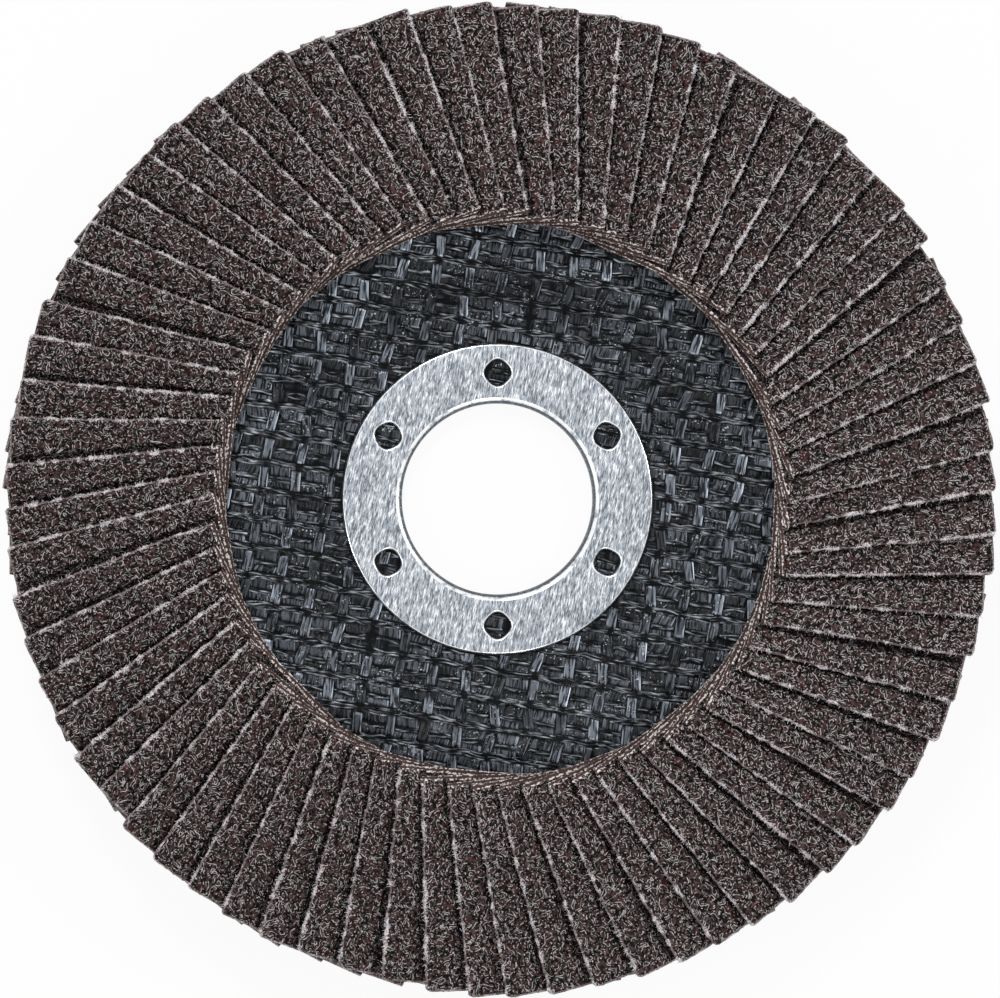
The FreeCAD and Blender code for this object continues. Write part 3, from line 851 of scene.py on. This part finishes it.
def weave_tapes(bm, weave):
    """The lengthwise tapes: narrow ones that dip under the band of threads, and between them wide
    ones that dip under the pair of threads too. In places resin has drowned them."""
    look = weave.look
    pitch = look.thread_pitch
    reach = math.ceil(weave.outer / look.tape_pitch) + 3
    rng = random.Random(3)
    for column in range(-2 * reach, 2 * reach):
        wide = column % 2 == 0
        start = weave.across * look.tape_pitch * (column / 2 + 0.5)
        start -= weave.along * math.ceil(weave.outer / pitch) * pitch
        width = (look.wide_tape if wide else look.narrow_tape) * rng.uniform(0.9, 1.08)
        floats = WIDE_FLOATS if wide else NARROW_FLOATS
        top = 0.2 if wide else 0.30
        slip = rng.uniform(-0.15, 0.15)

        def height(travel, share):
            phase, number = (travel + slip) % pitch, math.floor((travel + slip) / pitch)
            for part, (low, high) in enumerate(floats):
                if low < phase < high:
                    chance = random.Random(column * 977 + number * 3 + part)
                    lean, bulk = chance.gauss(0, 0.09), chance.uniform(0.5, 1.15)
                    # Each float's tone differs at random, and narrow tapes are painted nearly twice as
                    # bright, a painted highlight
                    shade = chance.uniform(0.12, 1.25) * (1 if wide else 1.9)
                    glint = chance.random() < 0.4
                    shift = chance.gauss(0, 0.06) + chance.gauss(0, 0.12) * (phase - (low + high) / 2)
                    spot = start + weave.along * (number * pitch + low)
                    drowned = wander(spot.x / 5.5, spot.y / 2.6, 3) + chance.gauss(0, 0.12)
                    if drowned - 0.4 * (weave.painted_light(spot) - 1) > 0.5:
                        return SUNK, 0.1, 0
                    near = min(phase - low, high - phase)
                    arch = math.sqrt(min(1, max(0, near / (0.18 if wide else 0.26))))
                    crown = 1 - (0.35 * share ** 4 if wide else 0.45 * share ** 4)
                    # Painted highlights: a bright line on a tape's right edge, a fainter one on its
                    # left, and a painted glint at the ends of some narrow floats
                    rim = 1 + (3.4 if wide else 6.0) * eased((-share - 0.62) / 0.28) * chance.random()
                    rim += (0.2 if wide else 1.2) * eased((share - 0.6) / 0.3)
                    rim += 3 * (glint and not wide and near < 0.25 and abs(share) < 0.7)
                    lift = SUNK + ((top * bulk + lean * share) * crown - SUNK) * arch
                    # The level is also painted darker where a float dips under the threads, a painted
                    # shade
                    return lift, shade * rim * (0.15 + 0.85 * arch), shift
            return SUNK, 0.1, 0

        lanes = 10 if wide else 7
        weave.ribbon(bm, start, weave.along, width, TAPE_PACE, lanes, height, column + 100)


def weave_threads(bm, weave):
    """The crosswise threads: a band of them lies over every tape, and half a pitch on a pair lies
    only over the wide tapes."""
    look = weave.look
    pitch = look.thread_pitch
    reach = math.ceil(weave.outer / pitch) + 3
    rng = random.Random(4)
    for row in range(-reach, reach):
        for part, offset in enumerate(THREAD_PLACES):
            start = weave.along * (row * pitch + offset) - weave.across * weave.outer
            seed = row * len(THREAD_PLACES) + part

            def height(travel, share):
                beat = wander(travel / 1.5, seed * 2.3, 4)
                place = (travel - weave.outer) / look.tape_pitch
                away = abs(place - round(place)) * look.tape_pitch
                low = 0.02 if part < BAND else SUNK
                over = eased((away - 0.45) / 0.3)
                lift = blend(low, 0.16 + 0.14 * beat, over) - 0.2 * share * share
                shade = max(0.05, 0.7 + 2.6 * wander(travel / 0.9, seed * 1.9, 8))
                # Painted shade: a thread is darker on its sides than along its top, and darker where it
                # dips under a tape
                return lift, shade * (1 - 0.8 * abs(share)) * (0.5 + 0.5 * over), 0

            width = rng.uniform(0.2, 0.34)
            weave.ribbon(bm, start, weave.across, width, THREAD_PACE, 3, height, seed + 500, 0.4)


class PlateOperator(bpy.types.Operator):
    """Mould the plate and weave the glass cloth that shows on its front"""

    bl_idname = "flap_disc.plate"
    bl_label = "Woven backing plate"

    def execute(self, context):
        look = context.scene.flap_disc_plate
        plate = plate_body(look)
        finish(plate, "moulded_plate", [resin_material(look)], ["backing_plate"], 40)
        weave = Weave(look)
        for name, lay, colours in (("glass_tapes", weave_tapes, (look.pit, look.tape)),
                                   ("glass_threads", weave_threads, (look.tape, look.thread))):
            bm = bmesh.new()
            bm.verts.layers.float_vector.new("cloth")
            bm.verts.layers.float.new("level")
            lay(bm, weave)
            finish(bm, name, [glass_material(look, name, *colours)])
        return {"FINISHED"}


# The ring

class RingSettings(bpy.types.PropertyGroup):
    """Sizes and colours of the pressed steel ring."""

    bore: FloatProperty(name="Bore", description="Bore radius in mm", default=11.115)
    sheet: FloatProperty(name="Sheet", description="Steel thickness in mm", default=0.6)
    bend: FloatProperty(name="Bend", description="Outside bend radius in mm", default=0.9)
    rim: FloatProperty(name="Rim", description="Rolled outer edge in mm", default=0.32)
    pierced_circle: FloatProperty(name="Holes' circle", description="Radius in mm", default=14.715)
    pierced_width: FloatProperty(name="Hole width", description="Clear width in mm", default=2.9)
    mouth: FloatProperty(name="Mouth", description="Drawn-in edge of a hole in mm", default=0.34)
    streak: FloatProperty(
        name="Streak", description="Width in mm, drawn coarser than real to show", default=0.14)
    brush_lean: FloatProperty(name="Brush lean", description="In degrees", default=-12)
    steel: StringProperty(name="Steel colour", description="Between marks", default="#A9AFB7")
    # The edge colour serves the bright streaks and the rolled edges' painted highlight
    bright_streak_and_edge_highlight: StringProperty(name="Edge colour", description="Rolled edges", default="#F6F8FA")
    groove: StringProperty(name="Groove colour", description="In marks", default="#666C74")


# The slots of the ring's materials, in order, the sides of its round edges and of its holes, and the
# chamfer inside the collar's lip in mm
BRUSHED, EDGE_HIGHLIGHT, DRAWN_SHADED = range(3)
ROUND_SIDES = 240
HOLE_SIDES = 48
CHAMFER = 0.12


def roll(bm, edges, centre, steps):
    """Draw an edge loop on through (radial, vertical) steps in mm, measured from its centre."""
    for outward, drop in steps:
        grown = bmesh.ops.extrude_edge_only(bm, edges=edges)["geom"]
        edges = of_kind(grown, bmesh.types.BMEdge)
        for vert in of_kind(grown, bmesh.types.BMVert):
            away = (vert.co - centre) * Vector((1, 1, 0))
            vert.co += away.normalized() * outward * MM + UP * drop * MM
    return edges


def quarter(radius, outward, steps=6):
    """Steps of a quarter bend that turns from level to straight down."""
    turns = [math.pi / 2 * step / steps for step in range(steps + 1)]
    return [(outward * radius * (math.sin(b) - math.sin(a)), radius * (math.cos(b) - math.cos(a)))
            for a, b in zip(turns, turns[1:])]


def ring_body(look):
    """Fill the flange between its edges and its six holes, then roll each edge down."""
    bm = bmesh.new()
    top = RING_HIGH.z
    flat_rim = RING_HIGH.x - look.rim * MM
    flat_bore = (look.bore + look.bend) * MM
    loops = [(UP * top, radius, ROUND_SIDES) for radius in (flat_rim, flat_bore)]
    for way in hole_ways():
        centre = way * look.pierced_circle * MM + UP * top
        loops.append((centre, (look.pierced_width / 2 + look.mouth) * MM, HOLE_SIDES))
    edges = []
    for centre, radius, sides in loops:
        verts = bmesh.ops.create_circle(bm, segments=sides, radius=radius,
                                        matrix=Matrix.Translation(centre))["verts"]
        if sides == HOLE_SIDES:
            # The punch leaves each hole faintly four-lobed
            for vert in verts:
                away = vert.co - centre
                lobes = 1 + 0.035 * math.cos(4 * math.atan2(away.y, away.x) + centre.x * 900)
                vert.co = centre + away * lobes
        bm.edges.ensure_lookup_table()
        edges.append(bm.edges[-sides:])
    rims = [edge for loop in edges for edge in loop]
    bmesh.ops.triangle_fill(bm, use_beauty=True, edges=rims, normal=UP)
    sheet = look.sheet
    outer = quarter(look.rim, 1) + [(0, look.rim - sheet), (-0.25, 0)]
    collar = RING_HIGH.z / MM - look.bend - RING_LOW.z / MM
    bore = quarter(look.bend, -1, 8)
    bore += [(0, CHAMFER - collar), (CHAMFER, -CHAMFER), (sheet - CHAMFER, 0), (0, 1.2)]
    mouth = quarter(look.mouth, -1) + [(0, look.mouth - sheet + 0.02), (0.3, 0)]
    for (centre, radius, sides), loop, steps in zip(loops, edges, (outer, bore, *[mouth] * 6)):
        roll(bm, loop, centre, steps)
    settle(bm)
    # Faces sloping upward, on the rolled edges, take the lighter steel as a painted highlight; the
    # steep faces inside the flange, down the collar, take the darker steel as a painted shade
    for face in bm.faces:
        lean = face.normal.z
        if 0.72 < lean < 0.99:
            face.material_index = EDGE_HIGHLIGHT
        elif lean < 0.72 and face.calc_center_median().xy.length < flat_bore:
            face.material_index = DRAWN_SHADED
    return bm


class RingOperator(bpy.types.Operator):
    """Press the steel ring, with its rolled edges and six pierced holes"""

    bl_idname = "flap_disc.ring"
    bl_label = "Steel ring"

    def execute(self, context):
        look = context.scene.flap_disc_ring
        materials = [steel_material(look), edge_highlight_material(look), drawn_shaded_material(look)]
        finish(ring_body(look), "steel_ring", materials, ["centre_ring"], 50)
        return {"FINISHED"}


class AdhesiveOperator(bpy.types.Operator):
    """Give the adhesive its finish"""

    bl_idname = "flap_disc.adhesive"
    bl_label = "Adhesive"

    def execute(self, context):
        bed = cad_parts["adhesive_bed"]
        bed.data.materials.clear()
        bed.data.materials.append(adhesive_material())
        return {"FINISHED"}


# The stage

class StageSettings(bpy.types.PropertyGroup):
    """Camera and light."""

    distance: FloatProperty(
        name="Camera distance", description="From the disc", default=1.2, unit="LENGTH")
    lean: FloatProperty(
        name="Camera lean", description="To the left of the axis, in degrees", default=2.2)
    view_width: FloatProperty(
        name="View width", description="What the frame spans at the flaps, in mm", default=115.6)
    daylight: FloatProperty(name="Daylight", description="Strength of the dome", default=0.5)


# Each lamp: its azimuth from 12 o'clock and height in degrees, its size in metres and its power
LAMPS = ((-15, 55, 0.16, 3.4), (75, 42, 0.16, 1.6), (-110, 42, 0.16, 0.9), (170, 50, 0.16, 0.7))
LAMP_DISTANCE = 1.0
# In metres: half the floor's side, how far it lies under the disc, and the height the camera aims at
FLOOR_HALF = 1.5
FLOOR_DROP = 0.2 * MM
AIM_HEIGHT = 0.010


class StageOperator(bpy.types.Operator):
    """Set the floor, the soft light and the camera"""

    bl_idname = "flap_disc.stage"
    bl_label = "Stage"

    def execute(self, context):
        look = context.scene.flap_disc_stage
        scene = context.scene
        bm = bmesh.new()
        bmesh.ops.create_grid(bm, x_segments=1, y_segments=1, size=FLOOR_HALF)
        bmesh.ops.translate(bm, verts=bm.verts, vec=(0, 0, -FLOOR_DROP))
        mesh = as_mesh(bm, "floor")
        mesh.materials.append(floor_material())
        floor = bpy.data.objects.new("floor", mesh)
        scene.collection.objects.link(floor)
        self.light(scene, look)
        self.camera(scene, look)
        scene.view_settings.view_transform = "Standard"
        return {"FINISHED"}

    def light(self, scene, look):
        """A white dome that the camera and the steel see as white, and soft lamps round the disc."""
        world = bpy.data.worlds.new("white studio")
        world.use_nodes = True
        tree = world.node_tree
        strength = add(tree, "MapRange", seen_directly(tree), 0, 1, look.daylight, 1.0, **SMOOTH)
        give(tree, tree.nodes["Background"], {"Color": (1, 1, 1, 1), "Strength": strength})
        scene.world = world
        for number, (azimuth, height, size, power) in enumerate(LAMPS):
            lamp = bpy.data.lights.new("soft lamp %d" % number, "AREA")
            lamp.energy, lamp.size = power, size
            holder = bpy.data.objects.new(lamp.name, lamp)
            turn, rise = math.radians(azimuth), math.radians(height)
            level = math.cos(rise)
            place = Vector((math.sin(turn) * level, math.cos(turn) * level, math.sin(rise)))
            holder.location = place * LAMP_DISTANCE
            holder.rotation_euler = place.to_track_quat("Z", "Y").to_euler()
            scene.collection.objects.link(holder)

    def camera(self, scene, look):
        """A long lens over the disc, a little to the left of its axis."""
        camera = bpy.data.cameras.new("camera")
        holder = bpy.data.objects.new("camera", camera)
        lean = math.radians(look.lean)
        back = Vector((-math.sin(lean), 0, math.cos(lean)))
        aim = UP * AIM_HEIGHT
        holder.location = aim + back * look.distance
        holder.rotation_euler = (0, -lean, 0)
        camera.sensor_fit = "HORIZONTAL"
        camera.lens = camera.sensor_width * look.distance / (look.view_width * MM)
        camera.clip_end = 10
        scene.collection.objects.link(holder)
        scene.camera = holder


class FlapDiscPanel(bpy.types.Panel):
    """Every step of the disc, with its sizes"""

    bl_idname = "VIEW3D_PT_flap_disc"
    bl_label = "Flap disc"
    bl_space_type = "VIEW_3D"
    bl_region_type = "UI"
    bl_category = "Flap disc"

    def draw(self, context):
        scene = context.scene
        for operator, settings in STEPS:
            self.layout.operator(operator.bl_idname)
            if settings:
                look = getattr(scene, settings)
                for name in look.bl_rna.properties.keys():
                    if name not in ("rna_type", "name"):
                        self.layout.prop(look, name)


SETTINGS = (("flap_disc_plate", PlateSettings), ("flap_disc_ring", RingSettings),
            ("flap_disc_grain", GrainSettings), ("flap_disc_stage", StageSettings))
STEPS = ((PlateOperator, "flap_disc_plate"), (RingOperator, "flap_disc_ring"), (AdhesiveOperator, None),
         (FlapsOperator, "flap_disc_grain"), (StageOperator, "flap_disc_stage"))
CLASSES = (*[kind for name, kind in SETTINGS], *[operator for operator, settings in STEPS],
           FlapDiscPanel)


def register():
    for kind in CLASSES:
        bpy.utils.register_class(kind)
    for name, kind in SETTINGS:
        setattr(bpy.types.Scene, name, PointerProperty(type=kind))


def unregister():
    for name, kind in SETTINGS:
        delattr(bpy.types.Scene, name)
    for kind in reversed(CLASSES):
        bpy.utils.unregister_class(kind)


def main():
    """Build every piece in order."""
    register()
    for operator, settings in STEPS:
        group, name = operator.bl_idname.split(".")
        getattr(getattr(bpy.ops, group), name)()


if __name__ == "__main__":
    main()
